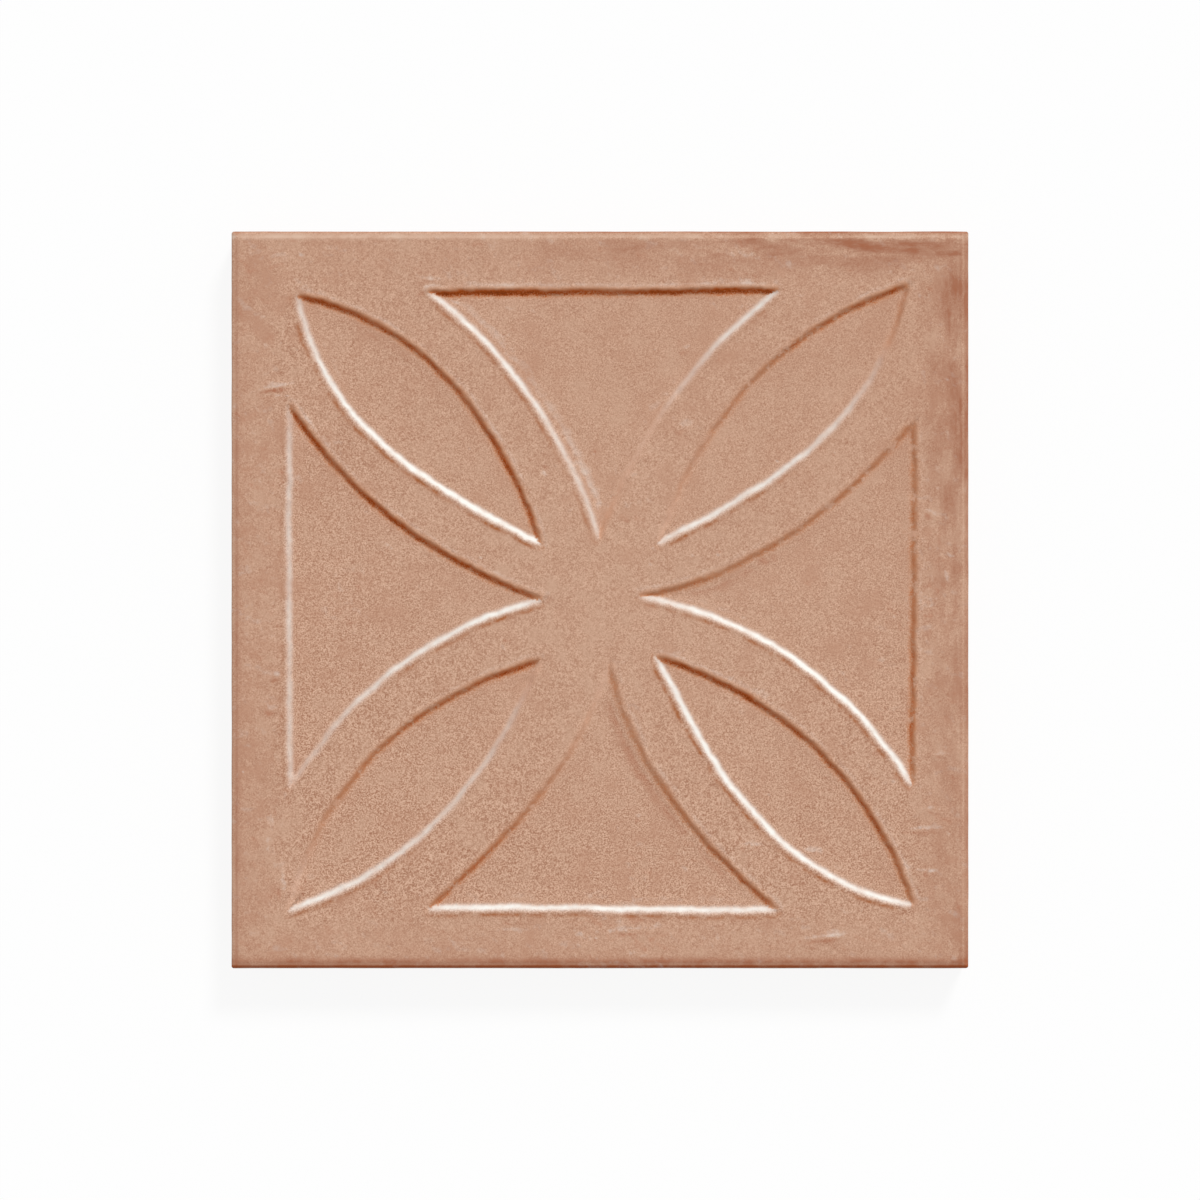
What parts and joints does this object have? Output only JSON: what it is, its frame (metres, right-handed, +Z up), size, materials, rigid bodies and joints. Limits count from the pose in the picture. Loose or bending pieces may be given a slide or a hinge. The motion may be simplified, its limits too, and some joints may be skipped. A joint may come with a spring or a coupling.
{
  "type": "terracotta floor tile",
  "caption": "Square fired-clay floor tile with a sunk cross-and-petal relief on its face, rounded face edges and key grooves across its back.",
  "frame": {"origin": "middle of the underside, in the plane of the lands between the key grooves", "axes": "+Z up through the relief face, +X to the right and +Y to the top of the tile as pictured; the key grooves run along Y"},
  "size_m": [0.2, 0.2, 0.015],
  "materials": {
    "terracotta": "fired clay with a thin satin sheen and a fine sandy grain, redder and darker on the relief walls"
  },
  "bodies": {
    "root": {"floor_tile": "terracotta"}
  },
  "joints": []
}
